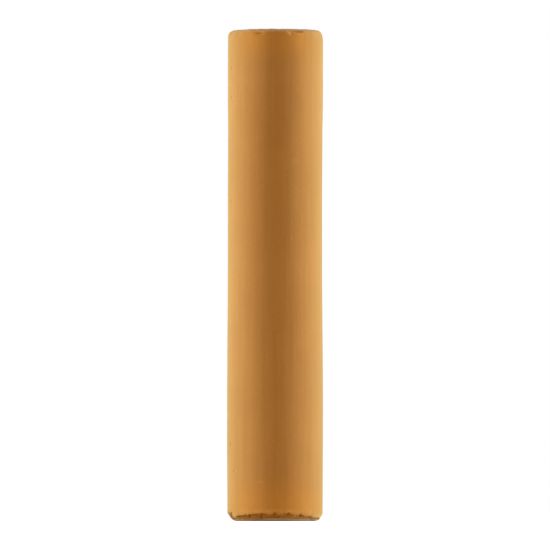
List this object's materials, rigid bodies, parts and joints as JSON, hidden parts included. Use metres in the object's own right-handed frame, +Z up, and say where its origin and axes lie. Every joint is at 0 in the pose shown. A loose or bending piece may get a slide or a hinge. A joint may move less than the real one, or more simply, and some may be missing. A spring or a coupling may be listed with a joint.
{
  "type": "soft pastel stick",
  "caption": "Round stick of pressed ochre pigment for drawing, with a slightly swollen barrel, worn round rims and a crumbled edge along the front of the foot.",
  "frame": {"origin": "centre of the base, on the surface that the stick stands on", "axes": "+Z up along the stick, -Y towards the crumbled front of the foot, +X to the right of that front"},
  "size_m": [0.0128, 0.0128, 0.0655],
  "materials": {
    "pressed_pigment": "dry, powdery and fully matt, like unglazed chalk"
  },
  "bodies": {
    "root": {"pastel_stick": "pressed_pigment"}
  },
  "joints": []
}
